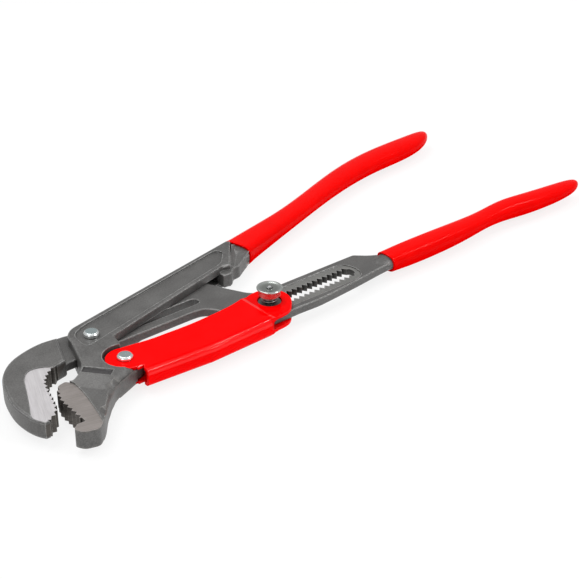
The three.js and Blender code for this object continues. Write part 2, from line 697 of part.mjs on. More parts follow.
function buttonCap() {
  const hole = boltEndRadius + fitGap;
  const skirtFoot = flangeBottom - skirtDrop;
  const dish = flangeTop - dishDepth;
  return turned([
    [hole, flangeBottom], [skirtRadius - skirtWall, flangeBottom], [skirtRadius - skirtWall, skirtFoot],
    [skirtRadius, skirtFoot], [skirtRadius, flangeBottom], [flangeRadius - flangeEdge, flangeBottom],
    [flangeRadius, flangeBottom + flangeEdge], [flangeRadius, flangeTop - flangeEdge],
    [flangeRadius - flangeEdge, flangeTop], [flangeRadius - dishRim, flangeTop],
    [flangeRadius - dishRim - dishDepth, dish], [hole, dish], [hole, flangeBottom],
  ], buttonAhead, pivotLine);
}

// Stem of the button, with the toothed collar that locks the slot.
function lockBolt() {
  const neckTop = flangeBottom - fitGap;
  const footBottom = footTop - footThickness - 2 * fitGap;
  const stem = turned([
    [0, footBottom - footPegHeight], [footPegRadius, footBottom - footPegHeight],
    [footPegRadius, footBottom], [boltNeckRadius, footBottom], [boltNeckRadius, neckTop],
    [boltEndRadius, neckTop], [boltEndRadius, flangeTop + boltEndRise], [0, flangeTop + boltEndRise],
  ], buttonAhead, pivotLine);
  const teeth = plate(notchedShape(collarRelief), -collarHalf, collarHalf);
  const collar = bore(buttonAhead, pivotLine, collarRadius, -collarHalf, collarHalf).intersect(teeth);
  return stem.add(collar);
}

function ring(outer, hole, bottom, top) {
  return turned([[hole, bottom], [outer, bottom], [outer, top], [hole, top], [hole, bottom]], buttonAhead, pivotLine);
}

// Centre line of the spring: upright ends, and even turns between them.
function springLine(bottom, top) {
  const count = springTurns * springSteps;
  const low = bottom + springWire;
  const rise = top - springWire - low;
  const line = [{ turn: 0, height: bottom }];
  for (let i = 0; i <= count; i += 1) {
    line.push({ turn: (2 * Math.PI * i) / springSteps, height: low + (rise * i) / count });
  }
  line.push({ turn: (2 * Math.PI * count) / springSteps, height: top });
  return line.map(({ turn, height }) => ({
    turn, point: new THREE.Vector3(springRadius * Math.cos(turn), springRadius * Math.sin(turn), height),
  }));
}

function springGap(line) {
  const apart = Math.floor(springSteps / 2);
  let least = Infinity;
  line.forEach((a, i) => {
    for (let j = i + apart; j < line.length; j += 1) least = Math.min(least, a.point.distanceTo(line[j].point));
  });
  return least - springWire;
}

function springSolid(line) {
  const positions = [];
  const index = [];
  line.forEach(({ turn, point }, i) => {
    const next = line[Math.min(i + 1, line.length - 1)].point;
    const last = line[Math.max(i - 1, 0)].point;
    const tangent = next.clone().sub(last).normalize();
    const radial = new THREE.Vector3(Math.cos(turn), Math.sin(turn), 0);
    const up = new THREE.Vector3().crossVectors(tangent, radial).normalize();
    const out = new THREE.Vector3().crossVectors(up, tangent).normalize();
    for (let k = 0; k < springSides; k += 1) {
      const around = (2 * Math.PI * k) / springSides;
      const corner = point.clone()
        .addScaledVector(out, (Math.cos(around) * springWire) / 2)
        .addScaledVector(up, (Math.sin(around) * springWire) / 2);
      positions.push(corner.x + buttonAhead, corner.y + pivotLine, corner.z);
    }
  });
  const rings = line.length;
  for (let r = 0; r < rings - 1; r += 1) {
    for (let k = 0; k < springSides; k += 1) {
      const a = r * springSides + k;
      const b = r * springSides + ((k + 1) % springSides);
      index.push(a, b, a + springSides, b, b + springSides, a + springSides);
    }
  }
  for (let k = 1; k < springSides - 1; k += 1) {
    const end = (rings - 1) * springSides;
    index.push(0, k + 1, k, end, end + k, end + k + 1);
  }
  const geometry = new THREE.BufferGeometry();
  geometry.setAttribute('position', new THREE.BufferAttribute(new Float32Array(positions), 3));
  geometry.setIndex(index);
  return solid(geometry);
}

const forging = new THREE.MeshStandardMaterial({ color: 0x67645f, roughness: 0.5, metalness: 0.85 });
const groundSteel = new THREE.MeshStandardMaterial({ color: 0x8f8f8c, roughness: 0.4, metalness: 0.9 });
const redGloss = new THREE.MeshStandardMaterial({ color: 0xdc0504, roughness: 0.12, metalness: 0.05 });
const redDip = new THREE.MeshStandardMaterial({ color: 0xd40806, roughness: 0.35, metalness: 0 });
const zinc = new THREE.MeshStandardMaterial({ color: 0xc4c4c0, roughness: 0.25, metalness: 1 });
const springSteel = new THREE.MeshStandardMaterial({ color: 0x9a9a98, roughness: 0.3, metalness: 1 });

const line = springLine(seatTop + fitGap, flangeBottom - fitGap);
console.log(`spring: least gap to itself ${springGap(line).toFixed(2)} mm`);

const pliers = new THREE.Group();
const guideSeat = pocketFloor + fitGap;
const linkSeat = linkHalf + fitGap;
pliers.add(
  pieceOf('upper_handle_fixed_jaw', upperBody(), forging),
  pieceOf('upper_grip', upperGrip(), redDip),
  pieceOf('guide_rivet', rivet(0, 0, guideShankRadius, guideHeadRadius, guideSeat, guideHeadHeight), zinc),
  pieceOf('link_rivet', rivet(linkPivotAhead, pivotLine, linkShankRadius, linkHeadRadius, linkSeat, linkHeadHeight), zinc),
  pieceOf('lower_handle_hook_jaw', lowerBody(), groundSteel),
  pieceOf('lower_grip', dippedGrip(lowerRings), redDip),
  pieceOf('link_channel', linkChannel(), redGloss),
  pieceOf('button_cap', buttonCap(), zinc),
  pieceOf('lock_bolt', lockBolt(), zinc),
  pieceOf('button_spring', springSolid(line), springSteel),
  pieceOf('spring_seat_washer', ring(seatRadius, seatBore, seatBottom, seatTop), zinc),
  pieceOf('retaining_washer', ring(footRadius, boltNeckRadius + fitGap, footTop - footThickness, footTop), zinc),
);
pliers.position.z = guideSeat + guideHeadHeight;

export default pliers;
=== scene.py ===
import math

import bmesh
import bpy
from mathutils import Matrix, Vector


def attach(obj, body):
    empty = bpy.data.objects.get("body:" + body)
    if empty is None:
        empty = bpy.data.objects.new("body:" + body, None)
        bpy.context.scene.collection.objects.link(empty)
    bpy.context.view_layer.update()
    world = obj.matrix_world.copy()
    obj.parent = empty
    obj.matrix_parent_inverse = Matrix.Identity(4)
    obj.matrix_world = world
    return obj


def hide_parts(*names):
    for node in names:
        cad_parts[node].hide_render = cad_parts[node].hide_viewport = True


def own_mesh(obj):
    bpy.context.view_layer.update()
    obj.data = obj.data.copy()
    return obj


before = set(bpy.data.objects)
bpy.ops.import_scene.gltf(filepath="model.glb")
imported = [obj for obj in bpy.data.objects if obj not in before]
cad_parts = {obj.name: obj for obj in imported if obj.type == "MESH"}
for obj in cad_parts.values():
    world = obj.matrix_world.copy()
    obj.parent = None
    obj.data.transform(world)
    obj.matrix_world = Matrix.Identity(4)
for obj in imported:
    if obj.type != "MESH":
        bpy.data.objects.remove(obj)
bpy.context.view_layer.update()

mid_height = 0.0118  # the tool's middle plane
floor_depth = 0.01185  # from the middle plane to the floor, just under the rivets' lower heads
milli = 0.001


# Effects that several finishes share

class Wiring:
    """A node tree with short calls to add and join nodes."""

    def __init__(self, tree):
        self.tree = tree

    def add(self, kind, **values):
        node = self.tree.nodes.new(kind)
        for name, value in values.items():
            if name.startswith("in_"):
                node.inputs[name[3:].replace("_", " ")].default_value = value
            else:
                setattr(node, name, value)
        return node

    def join(self, source, target):
        self.tree.links.new(source, target)

    def maths(self, operation, first, second=None, third=None, clamp=False):
        node = self.add("ShaderNodeMath", operation=operation, use_clamp=clamp)
        for socket, value in zip(node.inputs, (first, second, third)):
            if value is None:
                continue
            if isinstance(value, (int, float)):
                socket.default_value = value
            else:
                self.join(value, socket)
        return node.outputs[0]

    def mix_colour(self, factor, first, second):
        node = self.add("ShaderNodeMix", data_type="RGBA")
        for index, value in ((0, factor), (6, first), (7, second)):
            socket = node.inputs[index]
            if isinstance(value, (int, float)):
                socket.default_value = value
            elif isinstance(value, tuple):
                socket.default_value = (*value, 1)
            else:
                self.join(value, socket)
        return node.outputs[2]

    def ramp(self, source, low, high, start=0.0, end=1.0):
        node = self.add("ShaderNodeMapRange", clamp=True)
        self.join(source, node.inputs[0])
        for index, value in enumerate((start, end, low, high)):
            node.inputs[index + 1].default_value = value
        return node.outputs[0]


def effect(name, inputs, outputs):
    """A shader group whose inputs without a value and outputs named Normal are vectors."""
    tree = bpy.data.node_groups.new(name, "ShaderNodeTree")
    for label, value in inputs:
        kind = "NodeSocketVector" if value is None else "NodeSocketFloat"
        socket = tree.interface.new_socket(label, in_out="INPUT", socket_type=kind)
        if value is not None:
            socket.default_value = value
    for label in outputs:
        kind = "NodeSocketVector" if label == "Normal" else "NodeSocketFloat"
        tree.interface.new_socket(label, in_out="OUTPUT", socket_type=kind)
    wiring = Wiring(tree)
    entry, exit_ = wiring.add("NodeGroupInput"), wiring.add("NodeGroupOutput")
    return tree, wiring, entry.outputs, exit_.inputs


def forge_grain():
    """Fine scale, specks and shallow pits of a shot blasted forging."""
    tree, w, into, out = effect("forge grain", [("Vector", None), ("Pit size", 900.0)],
                                ["Height", "Mottle", "Specks"])
    fine = w.add("ShaderNodeTexNoise", in_Detail=3.0, in_Roughness=0.6)
    w.join(into["Vector"], fine.inputs["Vector"])
    w.join(into["Pit size"], fine.inputs["Scale"])
    broad = w.add("ShaderNodeTexNoise", in_Scale=55.0, in_Detail=5.0, in_Roughness=0.55)
    w.join(into["Vector"], broad.inputs["Vector"])
    pits = w.add("ShaderNodeTexVoronoi", in_Randomness=1.0)
    w.join(into["Vector"], pits.inputs["Vector"])
    w.join(w.maths("MULTIPLY", into["Pit size"], 0.45), pits.inputs["Scale"])
    dents = w.ramp(pits.outputs["Distance"], 0.0, 1.0, 0.0, 0.45)
    w.join(w.maths("MULTIPLY_ADD", dents, 0.35, fine.outputs[0]), out["Height"])
    w.join(w.ramp(broad.outputs[0], 0.0, 1.0, 0.32, 0.68), out["Mottle"])
    w.join(w.ramp(fine.outputs[0], 0.0, 1.0, 0.36, 0.64), out["Specks"])
    return tree


def grinding_lines():
    """Parallel scratches along the vector's X, from grinding, milling or drawing."""
    tree, w, into, out = effect("grinding lines", [("Vector", None), ("Fineness", 2600.0)], ["Lines"])
    stretch = w.add("ShaderNodeMapping")
    stretch.inputs["Scale"].default_value = (0.03, 1.0, 0.03)
    w.join(into["Vector"], stretch.inputs["Vector"])
    lines = w.add("ShaderNodeTexNoise", in_Detail=2.0, in_Roughness=0.7)
    w.join(stretch.outputs[0], lines.inputs["Vector"])
    w.join(into["Fineness"], lines.inputs["Scale"])
    w.join(w.ramp(lines.outputs[0], 0.0, 1.0, 0.25, 0.75), out["Lines"])
    return tree


def turned_rings():
    """Lathe rings about the vector's Z axis, and the share of the radius outwards."""
    tree, w, into, out = effect("turned rings", [("Vector", None), ("Rings per metre", 4000.0),
                                                 ("Radius", 0.006)], ["Rings", "Outwards"])
    split = w.add("ShaderNodeSeparateXYZ")
    w.join(into["Vector"], split.inputs[0])
    x, y = split.outputs[0], split.outputs[1]
    radius = w.maths("SQRT", w.maths("ADD", w.maths("MULTIPLY", x, x), w.maths("MULTIPLY", y, y)))
    turns = w.maths("MULTIPLY", radius, into["Rings per metre"])
    wave = w.maths("SINE", w.maths("MULTIPLY", turns, 6.2832))
    w.join(w.ramp(wave, 0.0, 1.0, -1.0, 1.0), out["Rings"])
    w.join(w.maths("DIVIDE", radius, into["Radius"], clamp=True), out["Outwards"])
    return tree


def edge_wear_and_highlight():
    """Mask of the outer edges, where a finish rubs thin and a painted highlight runs, broken up by
    small chips.
    """
    tree, w, into, out = effect("edge wear and highlight", [("Vector", None), ("Width", 0.0008), ("Chips", 700.0)],
                                ["Mask", "Normal"])
    rounded = w.add("ShaderNodeBevel", samples=6)
    w.join(into["Width"], rounded.inputs["Radius"])
    true = w.add("ShaderNodeNewGeometry")
    dot = w.add("ShaderNodeVectorMath", operation="DOT_PRODUCT")
    w.join(rounded.outputs[0], dot.inputs[0])
    w.join(true.outputs["True Normal"], dot.inputs[1])
    bend = w.ramp(dot.outputs["Value"], 1.0, 0.0, 0.90, 0.99)
    hollow = w.add("ShaderNodeAmbientOcclusion", samples=4, in_Distance=0.0015)
    outer = w.ramp(hollow.outputs["AO"], 0.0, 1.0, 0.5, 0.8)
    chips = w.add("ShaderNodeTexNoise", in_Detail=3.0)
    w.join(into["Vector"], chips.inputs["Vector"])
    w.join(into["Chips"], chips.inputs["Scale"])
    # The mask marks rubbed edges and a painted highlight along them
    worn_and_lit = w.maths("MULTIPLY", bend, w.ramp(chips.outputs[0], 0.35, 1.0, 0.35, 0.62))
    w.join(w.maths("MULTIPLY", worn_and_lit, outer, clamp=True), out["Mask"])
    w.join(rounded.outputs[0], out["Normal"])
    return tree


def hollow_shade():
    """Mask of painted shade in corners and tooth roots, where nearby surfaces close in, broken into
    patches.
    """
    tree, w, into, out = effect("hollow shade", [("Vector", None), ("Reach", 0.004)], ["Mask"])
    hollow = w.add("ShaderNodeAmbientOcclusion", samples=6)
    w.join(into["Reach"], hollow.inputs["Distance"])
    patchiness = w.add("ShaderNodeTexNoise", in_Scale=260.0, in_Detail=4.0)
    w.join(into["Vector"], patchiness.inputs["Vector"])
    # Darker where nearby surfaces close in: painted shade
    depth = w.ramp(hollow.outputs["AO"], 1.0, 0.0, 0.25, 0.85)
    patches = w.ramp(patchiness.outputs[0], 0.6, 1.0, 0.3, 0.7)
    w.join(w.maths("MULTIPLY", depth, patches, clamp=True), out["Mask"])
    return tree


grain, lines, rings = forge_grain(), grinding_lines(), turned_rings()
wear_and_highlight, shade_in_hollows = edge_wear_and_highlight(), hollow_shade()


# Finishes

class Finish:
    """A material whose vector is the object's own place, turned and centred by a Mapping node."""

    def __init__(self, name, centre=(0, 0, 0), turn=0.0, tip=0.0, **constants):
        self.material = bpy.data.materials.new(name)
        self.material.use_nodes = True
        self.material.node_tree.nodes.clear()
        self.w = w = Wiring(self.material.node_tree)
        self.shader = w.add("ShaderNodeBsdfPrincipled")
        for label, value in constants.items():
            self.shader.inputs[label.replace("_", " ")].default_value = value
        w.join(self.shader.outputs[0], w.add("ShaderNodeOutputMaterial").inputs["Surface"])
        place = w.add("ShaderNodeTexCoord")
        mapping = w.add("ShaderNodeMapping", vector_type="TEXTURE")
        mapping.inputs["Location"].default_value = centre
        mapping.inputs["Rotation"].default_value = (tip, 0, turn)
        w.join(place.outputs["Object"], mapping.inputs["Vector"])
        self.vector = mapping.outputs[0]

    def use(self, tree, **values):
        node = self.w.add("ShaderNodeGroup")
        node.node_tree = tree
        self.w.join(self.vector, node.inputs["Vector"])
        for label, value in values.items():
            node.inputs[label.replace("_", " ")].default_value = value
        return node.outputs

    def colour(self, source):
        self.w.join(source, self.shader.inputs["Base Color"])

    def roughness(self, source, low, high):
        self.w.join(self.w.ramp(source, low, high), self.shader.inputs["Roughness"])

    def bump(self, height, distance, strength, normal=None):
        node = self.w.add("ShaderNodeBump", in_Strength=strength, in_Distance=distance)
        self.w.join(height, node.inputs["Height"])
        if normal is not None:
            self.w.join(normal, node.inputs["Normal"])
        self.w.join(node.outputs[0], self.shader.inputs["Normal"])


def forging(name, low, high, rubbed_and_lit_colour=(0.50, 0.50, 0.49), rubbed_and_lit_share=0.9, rounding=0.0013):
    """Blasted and phosphated drop forging: dark warm grey, satin, rubbed brighter on its edges with a
    painted highlight there, and painted shade in its hollows.
    """
    finish = Finish(name, Metallic=0.3, Specular_IOR_Level=0.6)
    w = finish.w
    skin = finish.use(grain, Pit_size=1000.0)
    edges = finish.use(wear_and_highlight, Width=rounding, Chips=450.0)
    shaded = finish.use(shade_in_hollows, Reach=0.004)["Mask"]
    shade = w.maths("MULTIPLY_ADD", skin["Specks"], 0.6, w.maths("MULTIPLY", skin["Mottle"], 0.4))
    colour = w.mix_colour(shade, low, high)
    # Edges lighter: rubbed steel and a painted highlight
    colour = w.mix_colour(w.maths("MULTIPLY", edges["Mask"], rubbed_and_lit_share), colour, rubbed_and_lit_colour)
    # Painted shade in the hollows
    finish.colour(w.mix_colour(w.maths("MULTIPLY", shaded, 0.65), colour, (0.022, 0.020, 0.018)))
    finish.roughness(skin["Mottle"], 0.38, 0.5)
    finish.bump(skin["Height"], 0.00016, 0.6, edges["Normal"])
    return finish.material


def ground_steel(name, low, high, turn):
    """Bare steel flat with the lines of the grinding wheel."""
    finish = Finish(name, turn=turn, Metallic=0.55)
    w = finish.w
    scratch = finish.use(lines, Fineness=1500.0)["Lines"]
    cloud = finish.use(grain, Pit_size=420.0)["Mottle"]
    edges = finish.use(wear_and_highlight, Width=0.0004, Chips=600.0)
    shade = w.maths("MULTIPLY_ADD", scratch, 0.65, w.maths("MULTIPLY", cloud, 0.35))
    colour = w.mix_colour(shade, low, high)
    # Edges lighter: rubbed steel and a painted highlight
    finish.colour(w.mix_colour(w.maths("MULTIPLY", edges["Mask"], 0.6), colour, (0.85, 0.84, 0.82)))
    finish.roughness(scratch, 0.3, 0.46)
    finish.bump(scratch, 0.00006, 0.5)
    return finish.material


def tooth_steel(name, low, high):
    """Cut and hardened teeth: tips lighter from rubbing and a painted highlight, brown-black painted
    shade in the roots, cutter lines down the flanks.
    """
    finish = Finish(name, tip=math.pi / 2, Metallic=0.5)
    w = finish.w
    scratch = finish.use(lines, Fineness=1300.0)["Lines"]
    shaded = finish.use(shade_in_hollows, Reach=0.003)["Mask"]
    edges = finish.use(wear_and_highlight, Width=0.0005, Chips=500.0)
    colour = w.mix_colour(scratch, low, high)
    # Painted shade in the tooth roots
    colour = w.mix_colour(shaded, colour, (0.012, 0.008, 0.006))
    # Tips lighter: rubbed steel and a painted highlight
    finish.colour(w.mix_colour(w.maths("MULTIPLY", edges["Mask"], 0.7), colour, (0.5, 0.48, 0.45)))
    finish.roughness(scratch, 0.34, 0.5)
    finish.bump(scratch, 0.00008, 0.5)
    return finish.material


def link_lacquer(name, coat_index, rounding):
    """Glossy red enamel on pressed sheet, a little orange peel in it."""
    finish = Finish(name, Specular_IOR_Level=0.0, Coat_Roughness=0.05, Coat_IOR=coat_index)
    w = finish.w
    skin = finish.use(grain, Pit_size=300.0)
    edges = finish.use(wear_and_highlight, Width=rounding, Chips=900.0)
    shaded = finish.use(shade_in_hollows, Reach=0.003)["Mask"]
    colour = w.mix_colour(skin["Mottle"], (0.90, 0.0004, 0.0008), (0.94, 0.0008, 0.0014))
    # Edges pinker: a painted highlight
    colour = w.mix_colour(w.maths("MULTIPLY", edges["Mask"], 0.12), colour, (1.0, 0.10, 0.10))
    # Painted shade in the hollows
    finish.colour(w.mix_colour(w.maths("MULTIPLY", shaded, 0.55), colour, (0.25, 0.001, 0.004)))
    finish.roughness(skin["Mottle"], 0.12, 0.2)
    w.join(w.ramp(skin["Mottle"], 0.8, 1.0), finish.shader.inputs["Coat Weight"])
    finish.bump(skin["Height"], 0.00005, 0.2, edges["Normal"])
    return finish.material


def grip_vinyl():
    """Dipped vinyl: thick red skin with a slow ripple, and a satin shine on its upper half."""
    finish = Finish("grip_vinyl", Specular_IOR_Level=0.0, Coat_IOR=1.12, Coat_Roughness=0.14)
    w = finish.w
    split = w.add("ShaderNodeSeparateXYZ")
    w.join(finish.vector, split.inputs[0])
    upper_half = w.ramp(split.outputs[2], 0.0, 1.0, mid_height - 0.001, mid_height + 0.003)
    w.join(upper_half, finish.shader.inputs["Coat Weight"])
    skin = finish.use(grain, Pit_size=240.0)
    shaded = finish.use(shade_in_hollows, Reach=0.003)["Mask"]
    colour = w.mix_colour(skin["Mottle"], (0.72, 0.0006, 0.0003), (0.78, 0.001, 0.0006))
    # Painted shade in the hollows darkens the red
    finish.colour(w.mix_colour(w.maths("MULTIPLY", shaded, 0.5), colour, (0.30, 0.001, 0.001)))
    finish.roughness(skin["Specks"], 0.2, 0.28)
    finish.bump(w.maths("MULTIPLY_ADD", skin["Mottle"], 3.0, skin["Height"]), 0.00008, 0.22)
    return finish.material


def plated_zinc(name, centre, radius, inner, outer, rough=(0.18, 0.3), change=(0.55, 1.0)):
    """Zinc plated turned steel, darker in the middle of a face and bright on its rim, with painted
    highlights on its edges and painted shade in its hollows.
    """
    finish = Finish(name, centre=centre, Metallic=0.9)
    w = finish.w
    turned = finish.use(rings, Rings_per_metre=2200.0, Radius=radius)
    cloud = finish.use(grain, Pit_size=900.0)
    shaded = finish.use(shade_in_hollows, Reach=0.0015)["Mask"]
    edges = finish.use(wear_and_highlight, Width=0.0004, Chips=500.0)
    spread = w.ramp(turned["Outwards"], 0.0, 1.0, *change)
    tone = w.maths("MULTIPLY_ADD", cloud["Mottle"], 0.2, w.maths("MULTIPLY", spread, 0.9), clamp=True)
    colour = w.mix_colour(tone, inner, outer)
    # Edges near white: a painted highlight
    colour = w.mix_colour(w.maths("MULTIPLY", edges["Mask"], 0.9), colour, (0.97, 0.98, 0.98))
    # Painted shade in the hollows
    finish.colour(w.mix_colour(w.maths("MULTIPLY", shaded, 0.6), colour, (0.06, 0.058, 0.055)))
    finish.roughness(cloud["Mottle"], *rough)
    height = w.maths("MULTIPLY_ADD", turned["Rings"], 0.5, cloud["Height"])
    finish.bump(height, 0.00005, 0.4, edges["Normal"])
    return finish.material


def spring_wire(centre):
    """Drawn steel wire, a little dull, with painted shade between the turns."""
    finish = Finish("spring_wire", centre=centre, Metallic=1.0)
    w = finish.w
    drawn = finish.use(lines, Fineness=5000.0)["Lines"]
    shaded = finish.use(shade_in_hollows, Reach=0.001)["Mask"]
    colour = w.mix_colour(drawn, (0.30, 0.30, 0.29), (0.48, 0.48, 0.46))
    finish.colour(w.mix_colour(w.maths("MULTIPLY", shaded, 0.6), colour, (0.04, 0.04, 0.04)))
    finish.roughness(drawn, 0.25, 0.38)
    finish.bump(drawn, 0.00003, 0.4)
    return finish.material


grey_low, grey_high = (0.064, 0.062, 0.060), (0.141, 0.139, 0.135)
dark_forging = forging("dark_forging", grey_low, grey_high)
# A wide lighter band on the neck's eased edge: partly rubbed steel, partly painted highlight
neck_forging = forging("neck_forging", grey_low, grey_high, (0.33, 0.31, 0.285), 0.5, 0.0032)
# A wide light band on the hook's outer rim: partly rubbed steel, partly painted highlight
hook_rim = forging("hook_rim", grey_low, grey_high, (0.46, 0.46, 0.46), 0.75, 0.0028)
window_scale = forging("window_scale", (0.024, 0.022, 0.023), (0.060, 0.057, 0.058),
                       rubbed_and_lit_share=0.4)
milled_band = forging("milled_band", (0.125, 0.124, 0.118), (0.195, 0.193, 0.184),
                      rubbed_and_lit_share=0.6)
hook_ground = ground_steel("hook_ground", (0.47, 0.45, 0.46), (0.66, 0.64, 0.65),
                           math.radians(68))
jaw_ground = ground_steel("jaw_ground", (0.20, 0.178, 0.165), (0.33, 0.30, 0.285),
                          math.radians(-12))
jaw_teeth = tooth_steel("jaw_teeth", (0.048, 0.043, 0.038), (0.135, 0.122, 0.11))
# Darker than the jaw teeth: painted shade inside the slot
slot_teeth = tooth_steel("slot_teeth", (0.035, 0.034, 0.033), (0.09, 0.088, 0.084))
lacquer = link_lacquer("link_lacquer", 1.1, 0.0007)
# Its wider rounding widens the painted pink highlight along the bends
bend_lacquer = link_lacquer("link_lacquer_bends", 1.4, 0.0022)
vinyl = grip_vinyl()


# What every piece goes through

def new_piece(name, bm, *materials):
    """An object of the shape in bm, with its materials in order."""
    mesh = bpy.data.meshes.new(name)
    bm.to_mesh(mesh)
    bm.free()
    piece = bpy.data.objects.new(name, mesh)
    bpy.context.collection.objects.link(piece)
    for material in materials:
        mesh.materials.append(material)
    return piece


def smooth_skin(bm):
    """Faces turned outwards and shaded smoothly."""
    bmesh.ops.recalc_face_normals(bm, faces=bm.faces)
    for face in bm.faces:
        face.smooth = True


def take_place(piece, body, node):
    """The piece rides on its body, in the place of the CAD node."""
    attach(piece, body)
    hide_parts(node)


# Forged and pressed pieces: each CAD node merged, finished face by face and smoothly shaded

# Half thicknesses of the level faces that have a finish of their own, in millimetres
jaw_flat, hook_flat, neck_window, milled_recess = 6.6, 6.5, 8.5, 2.55
pivot_line, slot_reach = -0.0385, 0.0085  # the toothed slot's middle line, and its half width

# Roots of the tooth rows, in millimetres along and across from the guide rivet
fixed_tooth_roots = [(-50, -38.5), (-54.5, -45.8), (-57.8, -54.5), (-58.4, -64), (-58.8, -74),
                     (-59.6, -83)]
hook_tooth_roots = [(-78.5, -68.2), (-72.8, -65.5), (-68.8, -61.4), (-66.3, -56.5), (-63.3, -47.6),
                    (-60.8, -38.7), (-57.2, -29.1), (-52.8, -23.1), (-48.2, -18.8), (-43.8, -16),
                    (-38.5, -15.2)]


def distance_to_row(point, row):
    """Millimetres in plan from a point to the line through a row of places."""
    spot = Vector((point.x, point.y)) / milli
    best = 1000.0
    for a, b in zip(row, row[1:]):
        start, run = Vector(a), Vector(b) - Vector(a)
        along = min(max((spot - start).dot(run) / run.length_squared, 0), 1)
        best = min(best, (spot - start - run * along).length)
    return best


def face_height(face):
    """Millimetres of a level face from the middle plane, or zero for a wall or a slope."""
    if abs(face.normal.z) < 0.99:
        return 0.0
    return abs(face.calc_center_median().z - mid_height) / milli


def upper_finish(face):
    """Finish of a face of the upper forging: ground flats, teeth, the neck's recess and its slopes."""
    centre, height = face.calc_center_median(), face_height(face)
    to_teeth = distance_to_row(centre, fixed_tooth_roots)
    if abs(height - jaw_flat) < 0.05 and centre.x < -0.04:
        return jaw_ground
    if abs(face.normal.z) < 0.3 and to_teeth < 3 and centre.y > -0.0842:
        return jaw_teeth
    if abs(height - neck_window) < 0.03 and -0.056 < centre.y < -0.03:
        return window_scale
    if height == 0 and centre.y < -0.05 and to_teeth > 6:
        return neck_forging
    return dark_forging


def lower_finish(face):
    """Finish of a face of the hook forging: ground flats, teeth, milled band, slot and rim."""
    centre, height = face.calc_center_median(), face_height(face)
    to_teeth, is_wall = distance_to_row(centre, hook_tooth_roots), abs(face.normal.z) < 0.3
    if abs(height - hook_flat) < 0.05 and centre.x < -0.03:
        return hook_ground
    if is_wall and to_teeth < 3:
        return jaw_teeth
    if abs(height - milled_recess) < 0.04:
        return milled_band
    if is_wall and 0.117 < centre.x < 0.216 and abs(centre.y - pivot_line) < slot_reach:
        return slot_teeth
    if height == 0 and centre.x < -0.045 and to_teeth > 5:
        return hook_rim
    return dark_forging


def link_finish(face):
    """The bends that face upwards carry the lacquer that mirrors the lamps more."""
    return bend_lacquer if 0.12 < face.normal.z < 0.985 else lacquer


# Along, across, half width, half thickness and squareness of the upper grip's rings, in millimetres
upper_rings = [
    (164.3, 44.7, 13.4, 8.5, 3.5), (171.5, 47.0, 13.0, 8.1, 3.3), (180.5, 49.9, 12.5, 7.9, 3.2),
    (196.0, 54.8, 11.9, 7.6, 3.0), (217.2, 61.3, 11.1, 7.0, 2.7), (244.9, 70.2, 10.3, 6.6, 2.5),
    (277.8, 82.4, 10.4, 6.6, 2.4), (312.7, 94.7, 11.6, 7.2, 2.3), (343.4, 102.9, 12.4, 7.7, 2.3),
    (370.3, 107.2, 12.8, 8.0, 2.3), (395.4, 108.9, 12.9, 8.1, 2.3), (418.0, 111.5, 11.5, 7.7, 2.2),
    (433.0, 115.6, 9.0, 6.5, 2.2), (443.0, 119.9, 5.5, 4.5, 2.1), (447.5, 122.4, 2.2, 2.2, 2.0),
]
upper_grip_heading = math.radians(16)

# The neck's outer edge in plan, in millimetres, and where the neck starts and ends, in metres
neck_back = [(1.0, -53.2), (-1.0, -53.8), (-6.9, -56.0), (-17.5, -60.3), (-24.1, -64.7),
             (-31.6, -71.4), (-40, -80), (-47.4, -88.5)]
neck_start, neck_end = -0.0515, -0.088
fade_end, fade_run = -0.0885, 0.006  # the easing fades out towards the fixed jaw
finer_width, finer_edge = 10.0, 0.0022  # the band with finer faces, and their longest edge

# Millimetres: half thickness of the cheeks, drop of the eased edge, its width, and the height
# that faces have to stand above the middle plane to be eased
cheek_half, edge_drop, eased_width, eased_above = 9.6, 5.2, 7.5, 4.45


def ease_neck(bm):
    """Finer faces by the neck's outer edge, drawn down to a blunt round."""
    def by_edge(vert):
        in_neck = neck_end < vert.co.y < neck_start
        return in_neck and distance_to_row(vert.co, neck_back) < finer_width

    for _ in range(3):
        long_edges = [edge for edge in bm.edges
                      if edge.calc_length() > finer_edge and any(map(by_edge, edge.verts))]
        bmesh.ops.subdivide_edges(bm, edges=long_edges, cuts=1)
    bmesh.ops.triangulate(bm, faces=[face for face in bm.faces if any(map(by_edge, face.verts))])
    for vert in bm.verts:
        away = distance_to_row(vert.co, neck_back)
        side = (vert.co.z - mid_height) / milli
        height = abs(side)
        fade = min(max((vert.co.y - fade_end) / fade_run, 0), 1)
        if away < eased_width and height > eased_above and vert.co.y < neck_start and fade > 0:
            inward = 1 - away / eased_width
            round_top = cheek_half - edge_drop * (1 - math.sqrt(max(1 - inward * inward, 0)))
            height += (min(height, round_top) - height) * fade
            vert.co.z = mid_height + math.copysign(height, side) * milli


# Millimetres of the steel core: its start before the dip line, what it stays inside the ring
# across and through, and its taper before the line
core_lead, core_inset, core_skin, core_taper = 7.5, 2.8, 1.5, 0.42
core_from = 0.15  # metres along the tool; nothing nearer to the jaws belongs to the core


def draw_in_core(bm):
    """The steel inside the upper grip is kept within the dip line's ring."""
    along, across, half_width, half_thickness = upper_rings[0][:4]
    place = Matrix.Translation((along * milli, across * milli, mid_height))
    place = place @ Matrix.Rotation(upper_grip_heading, 4, "Z")
    for vert in bm.verts:
        spot = place.inverted() @ vert.co / milli
        if spot.x > -core_lead and vert.co.x > core_from:
            reach = half_width - core_inset + core_taper * max(-spot.x, 0)
            spot.y = min(max(spot.y, -reach), reach)
            if spot.x > -0.5:
                depth = half_thickness - core_skin
                spot.z = min(max(spot.z, -depth), depth)
            vert.co = place @ (spot * milli)


def shape_upper(bm):
    ease_neck(bm)
    draw_in_core(bm)


